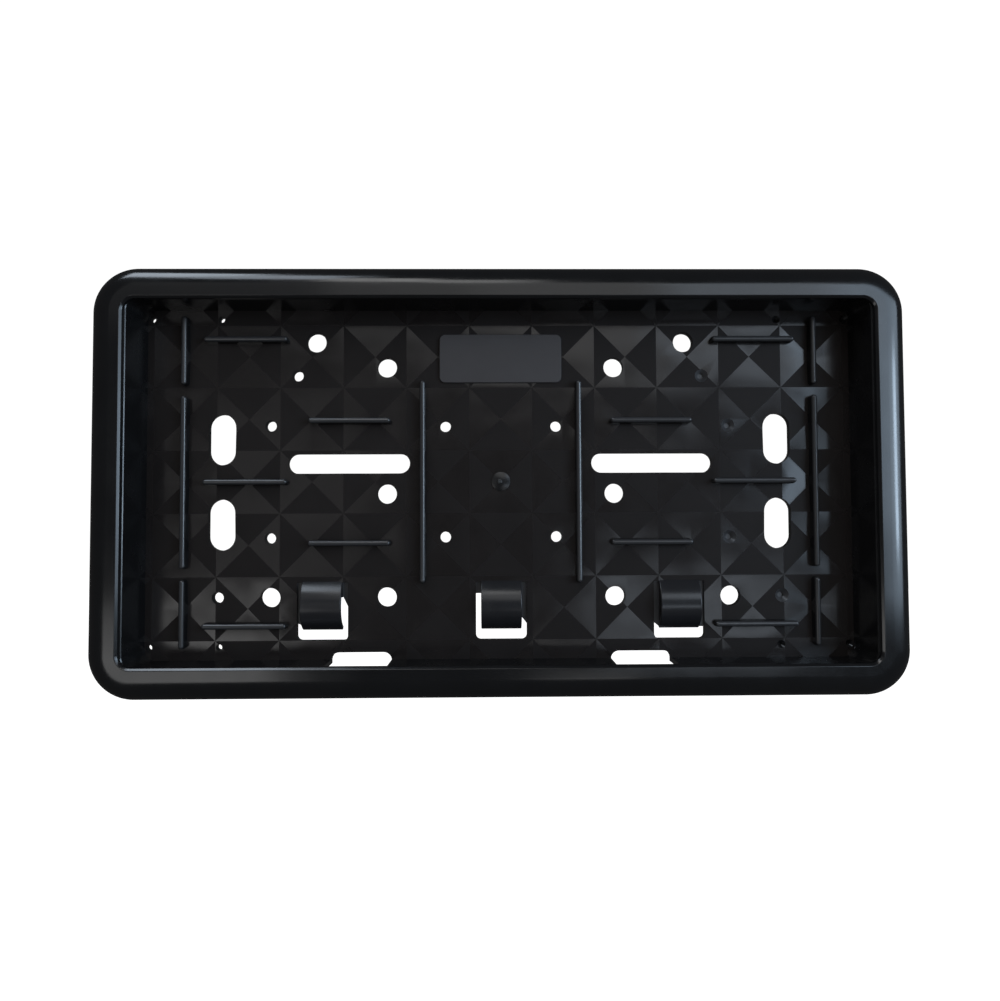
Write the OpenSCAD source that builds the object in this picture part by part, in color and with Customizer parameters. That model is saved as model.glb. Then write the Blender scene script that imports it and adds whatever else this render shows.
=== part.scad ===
// Number plate holder: one moulded tray for a 305 x 152 mm plate, in black plastic.
// Frame: X runs along the width, Z is up as fixed on the car, and the front faces -Y.
// The origin is the middle of the mounting face, which lies in the plane y = 0.
// Everything is drawn lying on its back, with the depth along +Z, and stood up at the end.

/* [Plate and recess] */
// Width of the plate that the tray holds
plate_w = 305; // [290:1:330]
// Height of the plate that the tray holds
plate_h = 152.4; // [140:0.2:165]
// Gap between each short side of the plate and the tray wall
end_gap = 3.9; // [2:0.1:8]
// Gap between each long side of the plate and the tray wall
side_gap = 1.2; // [0.8:0.1:4]
// Corner radius of the recess
recess_r = 5.2; // [4:0.1:9]

/* [Frame] */
// Overall depth, from the mounting face to the crown of the rim
frame_d = 24; // [20:0.5:34]
// Width of the rim, from its inner edge to the outside
rim_w = 13.8; // [11:0.2:20]
// Thickness of the rim's skin and of its outer skirt
skin = 2; // [1.4:0.1:3]
// Thickness of the recess wall
wall = 2; // [1.6:0.1:3]
// Radius of the rim's outer roll
roll_r = 5.2; // [3.5:0.1:7]
// Radius of the bead at the rim's inner edge
bead_r = 1.5; // [0.8:0.1:2]
// How far the rim's inner bead lies behind its crown
bead_drop = 0.5; // [0.2:0.1:1.5]
// How far the rim stands over the plate's long sides
lip = 1.1; // [0.3:0.1:1.6]
// Ledge between the rim and the wall at the plate's short sides
end_ledge = 0.8; // [0.3:0.1:1.4]

/* [Floor] */
// Thickness of the floor under the relief
floor_t = 2.4; // [1.8:0.1:4]
// Pitch of the pyramid relief
relief_pitch = 27.9; // [18:0.1:40]
// Depth of each pyramid, which points down into the floor
relief_h = 0.6; // [0.2:0.1:1.5]
// How far the moulded pattern lies above the middle of the frame
pattern_rise = 0.8; // [0:0.1:1.5]

/* [Screw holes] */
// Diameter of the large screw holes
screw_d = 8.6; // [6:0.1:9]
// Diameter of the four small holes around the middle
middle_d = 4.8; // [3:0.1:6]
// Diameter of the open pilot holes on the left
pilot_d = 4.6; // [3:0.1:5.5]
// Diameter of the blind drill marks on the right
mark_d = 5; // [4:0.1:6]
// Diameter of the pits in the drill marks
mark_pit_d = 2.6; // [1.5:0.1:3]
// Diameter of the vent holes at the edge
vent_d = 2.4; // [1.5:0.1:3]
// Gap from the short walls to the middles of the outer vents
vent_inset = 2; // [1.8:0.1:6]
// Spacing of the two vents in each corner
vent_pitch = 30.5; // [20:0.5:40]
// Gap from the long walls to the middles of the vents, before the pattern's rise
vent_side_gap = 4.9; // [4:0.1:8]
// Half the spacing of the main four screw holes, across
main_x = 50.5; // [46:0.1:54]
// Half the spacing of the main four screw holes, up and down
main_z = 51; // [46:0.1:54]
// Half the spacing of the four small holes around the middle
middle_x = 24.6; // [18:0.1:28]

/* [Slots] */
// Width of the upright slots
upright_slot_w = 12; // [6:0.1:14]
// End-to-end length of the upright slots
upright_slot_l = 22.6; // [16:0.1:26]
// Half the spacing of the upright slots, across
upright_slot_x = 123.3; // [115:0.1:128]
// Height of the upright slots' middles above and below the pattern's middle
upright_slot_z = 18.9; // [15:0.1:22]
// Width of the level slots
level_slot_w = 8.7; // [5:0.1:10]
// End-to-end length of the level slots
level_slot_l = 54; // [30:0.5:60]
// Half the spacing of the level slots, across
level_slot_x = 67.3; // [65:0.1:70]
// Height of the level slots above the pattern's middle
level_slot_z = 8.1; // [6:0.1:9]
// Length of the slots in the bottom wall
drain_l = 26.6; // [15:0.5:34]
// Half the spacing of the slots in the bottom wall
drain_x = 61.6; // [50:0.1:72]
// How far each bottom slot reaches into the floor
drain_reach = 3.2; // [2:0.1:6]
// Corner radius of the bottom slots
drain_r = 3.6; // [1:0.1:4]
// Share of the wall's height that each bottom slot opens
drain_share = 0.8; // [0.4:0.05:0.85]

/* [Ribs and plaque] */
// Thickness of the ribs
rib_t = 2.1; // [1.2:0.1:3]
// Height of the ribs above the floor
rib_h = 4.2; // [2:0.1:5]
// Gap from the short walls to the middles of the outer upright ribs
edge_rib_inset = 17.1; // [12:0.1:24]
// Gap from the upper wall to the ends of the outer upright ribs, before the pattern's rise
edge_rib_top_gap = 3.9; // [3:0.1:8]
// Gap from the lower wall to the ends of the outer upright ribs, before the pattern's rise
edge_rib_low_gap = 4.4; // [3:0.1:8]
// Width of the blank plaque
plaque_w = 54.5; // [40:0.5:60]
// Height of the blank plaque
plaque_h = 21.8; // [14:0.2:23]
// Corner radius of the blank plaque
plaque_r = 2.6; // [1:0.1:5]
// Thickness of the blank plaque above the relief
plaque_t = 0.8; // [0.3:0.1:2]
// Height of the plaque's middle above the pattern's middle
plaque_z = 54.8; // [52:0.1:58]
// Diameter of the gate mark in the middle
gate_d = 8.4; // [5:0.1:12]

/* [Spring tongues] */
// Width of each spring tongue
tongue_w = 17.8; // [12:0.1:18.5]
// Thickness of each spring tongue
tongue_t = 1.8; // [1.2:0.1:2.4]
// Rise of each tongue above the floor
tongue_rise = 4.4; // [3:0.1:7]
// Span of each tongue, from its root to its tip
tongue_span = 22.2; // [16:0.1:23]
// Where the crest of each tongue lies, as a share of its span from the root
crest_share = 0.56; // [0.45:0.01:0.65]
// Width of the window around each tongue
window_w = 22.5; // [22:0.1:26]
// Height of the window around each tongue
window_h = 26.9; // [26:0.1:28]
// Corner radius of the windows
window_r = 2.2; // [1:0.1:2.2]
// Half the spacing of the outer two tongues
tongue_x = 78.8; // [72:0.1:84]
// Height of the windows' top edge below the pattern's middle
window_top = 42.9; // [40:0.1:44]

/* [Hidden] */

$fn = 48;
through = 1;
corner_steps = 6;

recess_w = plate_w + 2 * end_gap;
recess_h = plate_h + 2 * side_gap;
opening_w = recess_w + 2 * end_ledge;
opening_h = recess_h - 2 * lip;
bead_z = frame_d - bead_drop;
skin_z = bead_z - skin;
floor_top = floor_t + relief_h;
wall_foot = recess_h / 2;
slot_cut_h = floor_top + 2 * through;
vent_x = recess_w / 2 - vent_inset;
vent_z = recess_h / 2 - vent_side_gap;
edge_rib_x = recess_w / 2 - edge_rib_inset;
tongue_foot = 0.75 * floor_t;
tongue_crest = round(10 * crest_share * tongue_span) / 10;

// Screw holes that lie alike on the left and the right, across and up from the pattern's middle
SCREWS = [
    [main_x, main_z],
    [main_x, -main_z],
    [main_x, -5.4],
    [81.9, 62.3],
    [101.7, -51],
];
// Pilot holes: open on the left, a blind drill mark on the right
PILOTS = [
    [101.8, 24.9],
    [101.8, -24.9],
    [90, 47.3],
    [124.6, -50.9],
];
// Vents near the corners, open on the left and blind on the right
VENTS = [
    [vent_x - vent_pitch, vent_z],
    [vent_x - vent_pitch, -vent_z],
    [vent_x, vent_z],
    [vent_x, -vent_z],
];
// Level ribs on each side: height, then the two ends across
LEVEL_RIBS = [
    [63.1, 93.7, 131],
    [0, 93.7, 131],
    [-63.1, 93.7, 131],
    [27, 48.4, 85],
    [-27, 48.4, 85],
];
// Upright ribs on each side: place across, then the two ends in height
UPRIGHT_RIBS = [
    [34.5, -44.9, 44.9],
    [edge_rib_x, -38.3, 38.3],
    [edge_rib_x, 42.6, recess_h / 2 - edge_rib_top_gap],
    [edge_rib_x, edge_rib_low_gap - recess_h / 2, -42.5],
];
// Spring tongues: place across, then how far down the window's left and right leg start. Each leg has
// two starts, next to the tongue and at its far edge, because the webs that close the legs end at a slant.
TONGUES = [
    [-tongue_x, [20.5, 19.6], [8, 12.8]],
    [0, [6.6, 6.6], [17, 20]],
    [tongue_x, [21.6, 19.6], [21.8, 21.8]],
];

// Points of an arc about c, from angle a to angle b
function arc(c, r, a, b) =
    [for (i = [0 : corner_steps]) c + r * [cos(a + (b - a) * i / corner_steps), sin(a + (b - a) * i / corner_steps)]];

// Flat shapes

module rounded_outline(w, h, r) {
    square([w, h - 2 * r], center = true);
    square([w - 2 * r, h], center = true);
    for (x = [-1, 1], y = [-1, 1])
        translate([x * (w / 2 - r), y * (h / 2 - r)])
            circle(r);
}

module stadium(length, width) {
    square([length - width, width], center = true);
    for (x = [-1, 1])
        translate([x * (length - width) / 2, 0])
            circle(d = width);
}

// Section of the rim: outwards from the opening along x, and up from the mounting face along y
module rim_section() {
    difference() {
        polygon(concat(
            [[0, 0]],
            arc([bead_r, bead_z - bead_r], bead_r, 180, 90),
            arc([rim_w - roll_r, frame_d - roll_r], roll_r, 90, 0),
            [[rim_w, 0]]
        ));
        polygon(concat(
            [[wall - end_ledge, -through], [wall - end_ledge, skin_z]],
            arc([rim_w - roll_r, frame_d - roll_r], roll_r - skin, 90, 0),
            [[rim_w - skin, -through]]
        ));
    }
}

// The frame

module rim_side(distance, length) {
    translate([distance, 0, 0])
        rotate([90, 0, 0])
            linear_extrude(height = length, center = true)
                rim_section();
}

module rim() {
    for (turn = [0, 180]) {
        rotate([0, 0, turn])
            rim_side(opening_w / 2, opening_h - 2 * recess_r);
        rotate([0, 0, turn + 90])
            rim_side(opening_h / 2, opening_w - 2 * recess_r);
    }
    for (corner = [[1, 1, 0], [-1, 1, 90], [-1, -1, 180], [1, -1, 270]])
        translate([corner[0] * (opening_w / 2 - recess_r), corner[1] * (opening_h / 2 - recess_r), 0])
            rotate([0, 0, corner[2]])
                rotate_extrude(angle = 90)
                    translate([recess_r, 0])
                        rim_section();
}

module recess_wall() {
    linear_extrude(height = skin_z + skin / 4)
        difference() {
            rounded_outline(recess_w + 2 * wall, recess_h + 2 * wall, recess_r + wall);
            rounded_outline(recess_w, recess_h, recess_r);
        }
}

module recess_space() {
    translate([0, 0, -through])
        linear_extrude(height = skin_z + through)
            rounded_outline(recess_w, recess_h, recess_r);
}

module drain_slots() {
    slot_h = drain_reach + wall + recess_r;
    for (side = [-1, 1])
        translate([side * drain_x, drain_reach - wall_foot - slot_h / 2, -through])
            linear_extrude(height = through + floor_t + drain_share * (skin_z - floor_t))
                rounded_outline(drain_l, slot_h, drain_r);
}

// The floor

// Block whose top is a row of ridges across x, each as long as asked
module ridges(span, length) {
    count = ceil(span / relief_pitch) + 1;
    rotate([90, 0, 0])
        linear_extrude(height = length, center = true)
            polygon(concat(
                [[-count * relief_pitch / 2, floor_t / 2]],
                [for (i = [-count : count]) [i * relief_pitch / 2, floor_t + (i % 2 == 0 ? 0 : relief_h)]],
                [[count * relief_pitch / 2, floor_t / 2]]
            ));
}

module floor_plate() {
    linear_extrude(height = 0.75 * floor_t)
        rounded_outline(recess_w + wall, recess_h + wall, recess_r + wall / 2);
    intersection() {
        union() {
            ridges(recess_w, recess_h + 2 * wall);
            translate([0, pattern_rise, 0])
                rotate([0, 0, 90])
                    ridges(recess_h + 2 * wall, recess_w + 2 * wall);
        }
        linear_extrude(height = frame_d)
            rounded_outline(recess_w + wall, recess_h + wall, recess_r + wall / 2);
    }
}

module ribs() {
    for (side = [-1, 1]) {
        for (rib = LEVEL_RIBS)
            translate([side * (rib[1] + rib[2]) / 2, rib[0], floor_t / 2])
                linear_extrude(height = floor_t / 2 + rib_h)
                    stadium(rib[2] - rib[1], rib_t);
        for (rib = UPRIGHT_RIBS)
            translate([side * rib[0], (rib[1] + rib[2]) / 2, floor_t / 2])
                rotate([0, 0, 90])
                    linear_extrude(height = floor_t / 2 + rib_h)
                        stadium(rib[2] - rib[1], rib_t);
    }
}

module plaque() {
    translate([0, plaque_z, floor_t / 2])
        linear_extrude(height = floor_t / 2 + relief_h + plaque_t)
            rounded_outline(plaque_w, plaque_h, plaque_r);
}

// Low dome where the plastic entered the mould, with the stub of the sprue
module gate_mark() {
    dome_h = gate_d / 16;
    dome_r = (gate_d * gate_d / 4 + dome_h * dome_h) / (2 * dome_h);
    intersection() {
        translate([0, 0, floor_top + dome_h - dome_r])
            sphere(dome_r, $fn = 96);
        translate([0, 0, floor_t / 2])
            cylinder(h = frame_d, d = gate_d);
    }
    translate([-gate_d / 16, 0, floor_t / 2])
        cylinder(h = floor_t / 2 + relief_h + 2 * dome_h, d = gate_d / 4);
}

module floor_holes() {
    for (side = [-1, 1]) {
        for (place = SCREWS)
            translate([side * place[0], place[1], -through])
                cylinder(h = slot_cut_h, d = screw_d);
        for (z = [-middle_x, middle_x])
            translate([side * middle_x, z, -through])
                cylinder(h = slot_cut_h, d = middle_d);
        for (z = [-upright_slot_z, upright_slot_z])
            translate([side * upright_slot_x, z, -through])
                rotate([0, 0, 90])
                    linear_extrude(height = slot_cut_h)
                        stadium(upright_slot_l, upright_slot_w);
        translate([side * level_slot_x, level_slot_z, -through])
            linear_extrude(height = slot_cut_h)
                stadium(level_slot_l, level_slot_w);
    }
    for (place = PILOTS) {
        translate([-place[0], place[1], -through])
            cylinder(h = slot_cut_h, d = pilot_d);
        translate([place[0], place[1], 0])
            drill_mark(mark_d, mark_pit_d);
    }
    for (place = VENTS) {
        translate([-place[0], place[1], -through])
            cylinder(h = slot_cut_h, d = vent_d);
        translate([place[0], place[1], 0])
            drill_mark(vent_d, vent_d / 2);
    }
}

// Blind mark for drilling: a cone that narrows to a pit, with a thin bottom left in the floor
module drill_mark(mouth, pit) {
    cone_h = (mouth - pit) / 2;
    translate([0, 0, floor_t - cone_h])
        cylinder(h = 2 * cone_h, d1 = pit, d2 = 2 * mouth - pit);
    translate([0, 0, floor_t / 4])
        cylinder(h = floor_t, d = pit);
}

// The spring tongues

// U-shaped window: a bar below the tongue, a leg up each side, and the floor between the two legs
module window(left, right) {
    bar_h = window_h - tongue_span;
    open_top = window_h - min(left[0], right[0]);
    translate([0, -window_h, -through])
        linear_extrude(height = slot_cut_h) {
            translate([0, bar_h / 2])
                rounded_outline(window_w, bar_h, min(window_r, bar_h / 2 - 0.1));
            translate([0, (bar_h / 2 + open_top) / 2])
                square([tongue_w, open_top - bar_h / 2], center = true);
            for (leg = [[-1, left], [1, right]])
                polygon([
                    [leg[0] * tongue_w / 2, bar_h / 2],
                    [leg[0] * window_w / 2, bar_h / 2],
                    [leg[0] * window_w / 2, window_h - leg[1][1]],
                    [leg[0] * tongue_w / 2, window_h - leg[1][0]],
                ]);
        }
}

// Side of a tongue that ends at its crest, as an arc on the side of the root or of the tip
module tongue_half(reach, side) {
    top = floor_top + tongue_rise;
    rise = top - tongue_foot;
    arch_r = round(10 * (reach * reach + rise * rise) / (2 * rise)) / 10;
    intersection() {
        translate([0, top - arch_r])
            difference() {
                circle(arch_r, $fn = 96);
                circle(arch_r - tongue_t, $fn = 96);
            }
        translate([side * arch_r, tongue_foot + arch_r])
            square(2 * arch_r, center = true);
    }
}

// Arched strip that climbs slowly from its root and falls faster from its crest to its tip
module tongue() {
    translate([0, -tongue_crest, 0])
        rotate([90, 0, 90])
            linear_extrude(height = tongue_w, center = true) {
                tongue_half(tongue_crest, 1);
                tongue_half(tongue_span - tongue_crest, -1);
            }
}

module spring_tongues() {
    for (place = TONGUES)
        translate([place[0], -window_top, 0])
            tongue();
}

module tongue_windows() {
    for (place = TONGUES)
        translate([place[0], -window_top, 0])
            window(place[1], place[2]);
}

// The whole holder, lying on its back

module holder() {
    difference() {
        union() {
            difference() {
                union() {
                    rim();
                    recess_wall();
                }
                recess_space();
            }
            floor_plate();
            translate([0, pattern_rise, 0]) {
                ribs();
                plaque();
                gate_mark();
            }
        }
        drain_slots();
        translate([0, pattern_rise, 0]) {
            floor_holes();
            tongue_windows();
        }
    }
    translate([0, pattern_rise, 0])
        spring_tongues();
}

module plate_holder() {
    color("#17181a")
        rotate([90, 0, 0])
            holder();
}

plate_holder();
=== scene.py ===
# %% [markdown]
# # A number plate holder
# This lesson dresses a moulded tray that holds a car's number plate. The real object is one injection
# moulding in glossy black plastic: a hollow rounded rim, a straight wall, a floor cut in facets, ribs,
# screw holes, slots and three curled spring tongues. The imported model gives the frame: X runs along the
# width, Z is up, the front faces -Y, and the mounting face lies in the plane y = 0.

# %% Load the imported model
import math

import bmesh
import bpy
from mathutils import Matrix, Vector


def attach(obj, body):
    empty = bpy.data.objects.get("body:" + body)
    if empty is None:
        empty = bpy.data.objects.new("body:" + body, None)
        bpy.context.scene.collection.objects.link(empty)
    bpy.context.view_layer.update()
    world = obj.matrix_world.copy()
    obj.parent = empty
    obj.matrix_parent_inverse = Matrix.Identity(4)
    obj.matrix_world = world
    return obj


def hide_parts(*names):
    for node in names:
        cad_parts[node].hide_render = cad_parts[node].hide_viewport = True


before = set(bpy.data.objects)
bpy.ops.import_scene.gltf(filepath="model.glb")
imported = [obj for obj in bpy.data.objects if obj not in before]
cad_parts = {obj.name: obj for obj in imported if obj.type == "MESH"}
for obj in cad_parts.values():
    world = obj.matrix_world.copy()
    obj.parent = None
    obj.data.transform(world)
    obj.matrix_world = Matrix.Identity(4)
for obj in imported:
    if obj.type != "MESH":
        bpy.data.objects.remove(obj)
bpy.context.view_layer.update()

# %% [markdown]
# ## Sizes
# A moulded part is easiest to read lying on its back in the workshop, with its depth along +Z and its
# sizes in millimetres. Every piece below is made like that. Only the finished tray is stood up and
# brought to metres, in one go. So a size here can be compared with a drawing of the part.

# %% Sizes of the tray in millimetres
MM = 0.001
PLATE_W = 305.0
PLATE_H = 152.4
END_GAP = 3.9
SIDE_GAP = 1.2
RECESS_R = 5.2
RECESS_W = PLATE_W + 2 * END_GAP
RECESS_H = PLATE_H + 2 * SIDE_GAP
LIP = 1.1
END_LEDGE = 0.8
OPENING_W = RECESS_W + 2 * END_LEDGE
OPENING_H = RECESS_H - 2 * LIP
FRAME_D = 24.0
RIM_W = 13.8
SKIN = 2.0
WALL = 2.0
ROLL_W = 9.0
ROLL_D = 5.2
BEAD_R = 0.5
BEVEL = 0.9
BEVEL_TURN = 127
BEAD_SINK = 0.05
BEAD_Z = FRAME_D - BEAD_SINK
SKIN_SINK = 0.5
SKIN_Z = FRAME_D - SKIN_SINK - SKIN
FLOOR_T = 2.4
RELIEF_PITCH = 27.9
RELIEF_H = 0.6
FLOOR_TOP = FLOOR_T + RELIEF_H
PATTERN_RISE = 0.8
THROUGH = 1.0
print("recess", RECESS_W, "x", RECESS_H, "mm, opening", OPENING_W, "x", OPENING_H, "mm")

# %% [markdown]
# ## Finishes
# All of the tray is one black plastic, but the steel mould gives each region its own surface. The rim
# and the tongues come out glossy. On the floor the toolmaker polished every second triangular facet and
# left the others finely etched. The materials are named now, so that the pieces can carry
# them, and their nodes follow once the shape is there.

# %% Name the finishes
FINISH_NAMES = [
    "rim_gloss",
    "wall_gloss",
    "facet_etched",
    "facet_polished",
    "rib_gloss",
    "tongue_gloss",
    "plaque_satin",
    "gate_scar",
    "painted_light_grey",
    "back_satin",
]
finish = {name: bpy.data.materials.new(name) for name in FINISH_NAMES}
print("finishes:", ", ".join(finish))

# %% [markdown]
# ## Geometry Nodes by script
# The rim follows a path, the floor follows a rule, and the holes repeat. Geometry Nodes make all three
# well. These helpers build a tree, run it on a scratch object and hand back a plain mesh. A modifier's
# inputs are set by the socket's identifier before Blender evaluates the object for the first time.

# %% Helpers for node trees
def start_tree(name, inputs):
    """New geometry tree with a geometry input and output, and the named inputs after them."""
    tree = bpy.data.node_groups.new(name, "GeometryNodeTree")
    tree.interface.new_socket("Geometry", in_out="OUTPUT", socket_type="NodeSocketGeometry")
    tree.interface.new_socket("Geometry", in_out="INPUT", socket_type="NodeSocketGeometry")
    for label, kind in inputs:
        tree.interface.new_socket(label, in_out="INPUT", socket_type="NodeSocket" + kind)
    return tree, tree.nodes.new("NodeGroupInput").outputs


def step(tree, kind, feeds=None, **settings):
    """Adds a node, sets its properties, and links or fills the inputs that feeds names."""
    node = tree.nodes.new(kind)
    for key, value in settings.items():
        setattr(node, key, value)
    for label, value in (feeds or {}).items():
        if isinstance(value, bpy.types.NodeSocket):
            tree.links.new(value, node.inputs[label])
        else:
            node.inputs[label].default_value = value
    return node


def maths(tree, operation, first, second=0.0):
    """A Math node on two values or sockets, which returns its result socket."""
    return step(tree, "ShaderNodeMath", {0: first, 1: second}, operation=operation).outputs[0]


def close_tree(tree, geometry, material):
    """Ends a tree in Set Material and Realize Instances."""
    dressed = step(tree, "GeometryNodeSetMaterial", {"Geometry": geometry, "Material": material})
    real = step(tree, "GeometryNodeRealizeInstances", {"Geometry": dressed.outputs[0]})
    output = tree.nodes.new("NodeGroupOutput")
    tree.links.new(real.outputs[0], output.inputs[0])


def common_finishes(mesh):
    """Gives a mesh the full list of finishes, in one order for every piece."""
    names = [material.name if material else FINISH_NAMES[0] for material in mesh.materials]
    picked = [FINISH_NAMES.index(names[face.material_index]) for face in mesh.polygons]
    mesh.materials.clear()
    for name in FINISH_NAMES:
        mesh.materials.append(finish[name])
    mesh.polygons.foreach_set("material_index", picked)


def close_mesh(mesh):
    """Merges doubles and turns every face outwards."""
    work = bmesh.new()
    work.from_mesh(mesh)
    bmesh.ops.remove_doubles(work, verts=work.verts, dist=1e-4)
    bmesh.ops.recalc_face_normals(work, faces=work.faces)
    work.to_mesh(mesh)
    work.free()


def grow(tree, values, seed=None):
    """Runs a tree with the given inputs on a scratch object and returns the plain mesh."""
    scratch = bpy.data.objects.new("scratch", seed or bpy.data.meshes.new("scratch"))
    bpy.context.scene.collection.objects.link(scratch)
    modifier = scratch.modifiers.new("grow", "NODES")
    modifier.node_group = tree
    for item in tree.interface.items_tree:
        if item.in_out == "INPUT" and item.name in values:
            modifier[item.identifier] = values[item.name]
    graph = bpy.context.evaluated_depsgraph_get()
    mesh = bpy.data.meshes.new_from_object(scratch.evaluated_get(graph))
    bpy.data.objects.remove(scratch)
    close_mesh(mesh)
    common_finishes(mesh)
    return mesh


# %% [markdown]
# ## Sweeping the rim and the wall
# A moulded rim has the same section all the way round. So its section is drawn once, from arcs and
# straight runs, and swept along the edge of the opening: a rectangle with rounded corners. The outer
# roll is a quarter of an ellipse, the face is flat, and a small bevel breaks the inner edge, where it
# draws a thin bright line. The wall of the recess is swept in the same way along its own, slightly
# different rectangle.

# %% Tree that sweeps a section round a rounded rectangle
SWEEP, sweep_in = start_tree("Sweep round the opening", [
    ("Width", "Float"),
    ("Height", "Float"),
    ("Corner radius", "Float"),
    ("Corner steps", "Int"),
    ("Section", "Object"),
    ("Finish", "Material"),
])
sweep_box = step(SWEEP, "GeometryNodeCurvePrimitiveQuadrilateral", {
    "Width": sweep_in["Width"],
    "Height": sweep_in["Height"],
})
sweep_path = step(SWEEP, "GeometryNodeFilletCurve", {
    "Curve": sweep_box.outputs[0],
    "Count": sweep_in["Corner steps"],
    "Radius": sweep_in["Corner radius"],
}, mode="POLY")
sweep_up = step(SWEEP, "GeometryNodeSetCurveNormal", {"Curve": sweep_path.outputs[0]}, mode="Z_UP")
sweep_section = step(SWEEP, "GeometryNodeObjectInfo", {"Object": sweep_in["Section"]})
sweep_skin = step(SWEEP, "GeometryNodeCurveToMesh", {
    "Curve": sweep_up.outputs[0],
    "Profile Curve": sweep_section.outputs["Geometry"],
})
close_tree(SWEEP, sweep_skin.outputs[0], sweep_in["Finish"])


def section_curve(name, points):
    """Closed outline as a curve object. The sweep lays its x outwards and turns its y downwards."""
    curve = bpy.data.curves.new(name, "CURVE")
    curve.dimensions = "3D"
    spline = curve.splines.new("POLY")
    spline.points.add(len(points) - 1)
    for knot, (out, up) in zip(spline.points, points):
        knot.co = (out, -up, 0, 1)
    spline.use_cyclic_u = True
    section = bpy.data.objects.new(name, curve)
    bpy.context.scene.collection.objects.link(section)
    return section


def bow(centre, radius, start, end, steps, height=None):
    """Points of an arc, with its angles in degrees. With a height, the arc belongs to an ellipse."""
    turns = [math.radians(start + (end - start) * k / steps) for k in range(steps + 1)]
    rise = height or radius
    return [(centre[0] + radius * math.cos(turn), centre[1] + rise * math.sin(turn)) for turn in turns]


def sweep(name, points, width, height, radius, steps, finish_name):
    """A section swept round a rounded rectangle, as a closed mesh."""
    section = section_curve(name, points)
    mesh = grow(SWEEP, {
        "Width": width,
        "Height": height,
        "Corner radius": radius,
        "Corner steps": steps,
        "Section": section,
        "Finish": finish[finish_name],
    })
    bpy.data.objects.remove(section)
    return mesh


# %% The rim and the wall
ROLL_AT = (RIM_W - ROLL_W, FRAME_D - ROLL_D)
FOOT_ROUND = 0.4
LEG = WALL - END_LEDGE
BEAD_STEPS = 4
ROLL_STEPS = 24
HOLLOW_STEPS = 8
CORNER_STEPS = 24
bevel_out = BEVEL * math.sin(math.radians(BEVEL_TURN))
bevel_up = -BEVEL * math.cos(math.radians(BEVEL_TURN))
rim_points = [(0.0, 0.0)]
rim_points += bow((BEAD_R, BEAD_Z - BEAD_R - bevel_up), BEAD_R, 180, BEVEL_TURN, BEAD_STEPS)
rim_points += bow((BEAD_R + bevel_out, BEAD_Z - BEAD_R), BEAD_R, BEVEL_TURN, 90, BEAD_STEPS)
rim_points += bow(ROLL_AT, ROLL_W, 90, 0, ROLL_STEPS, ROLL_D)
rim_points += [(RIM_W, FOOT_ROUND), (RIM_W - FOOT_ROUND, 0.0), (RIM_W - SKIN, 0.0)]
rim_points += bow(ROLL_AT, ROLL_W - SKIN, 0, 90, HOLLOW_STEPS, ROLL_D - SKIN)
rim_points += [(LEG, SKIN_Z), (LEG, 0.0)]
rim = sweep("rim", rim_points, OPENING_W, OPENING_H, RECESS_R, CORNER_STEPS, "rim_gloss")

WALL_TOP = SKIN_Z + SKIN / 4
EASE = 0.3
wall_points = [(0.0, 0.0), (0.0, WALL_TOP - EASE), (EASE, WALL_TOP), (WALL, WALL_TOP), (WALL, 0.0)]
wall = sweep("wall", wall_points, RECESS_W, RECESS_H, RECESS_R, CORNER_STEPS, "wall_gloss")
print("rim", len(rim.polygons), "faces, wall", len(wall.polygons), "faces")

# %% [markdown]
# ## Blocks with rounded corners
# Ribs, slots, windows and the plaque are all the same idea: a flat bar with round corners, a little
# draft so that it leaves the mould, and a rounded top edge. Such a bar is convex. So one tree sets a
# few circles on the four corners and wraps them in a convex hull, and it can be neither open nor
# inside out. The levels of the top edge follow a quarter circle: how far in, and how far down.

# %% Tree that wraps a rounded bar round its corner circles
BAR, bar_in = start_tree("Moulded bar", [
    ("Length", "Float"),
    ("Width", "Float"),
    ("Corner radius", "Float"),
    ("Height", "Float"),
    ("Draft", "Float"),
    ("Edge", "Float"),
    ("Steps", "Int"),
    ("Finish", "Material"),
])
bar_twice = maths(BAR, "MULTIPLY", bar_in["Corner radius"], 2.0)
bar_corners = step(BAR, "GeometryNodeMeshGrid", {
    "Size X": maths(BAR, "SUBTRACT", bar_in["Length"], bar_twice),
    "Size Y": maths(BAR, "SUBTRACT", bar_in["Width"], bar_twice),
    "Vertices X": 2,
    "Vertices Y": 2,
})
bar_rings = step(BAR, "GeometryNodeJoinGeometry")
EDGE_LEVELS = [(0.0, 1.0), (0.076, 0.617), (0.293, 0.293), (0.617, 0.076), (1.0, 0.0)]


def bar_ring(inset, height):
    """One circle on each corner, drawn in by inset and lifted to height."""
    ring = step(BAR, "GeometryNodeMeshCircle", {
        "Vertices": bar_in["Steps"],
        "Radius": maths(BAR, "SUBTRACT", bar_in["Corner radius"], inset),
    })
    placed = step(BAR, "GeometryNodeInstanceOnPoints", {
        "Points": bar_corners.outputs[0],
        "Instance": ring.outputs[0],
    })
    lift = step(BAR, "ShaderNodeCombineXYZ", {"Z": height})
    lifted = step(BAR, "GeometryNodeTransform", {
        "Geometry": placed.outputs[0],
        "Translation": lift.outputs[0],
    })
    BAR.links.new(lifted.outputs[0], bar_rings.inputs[0])


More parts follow.
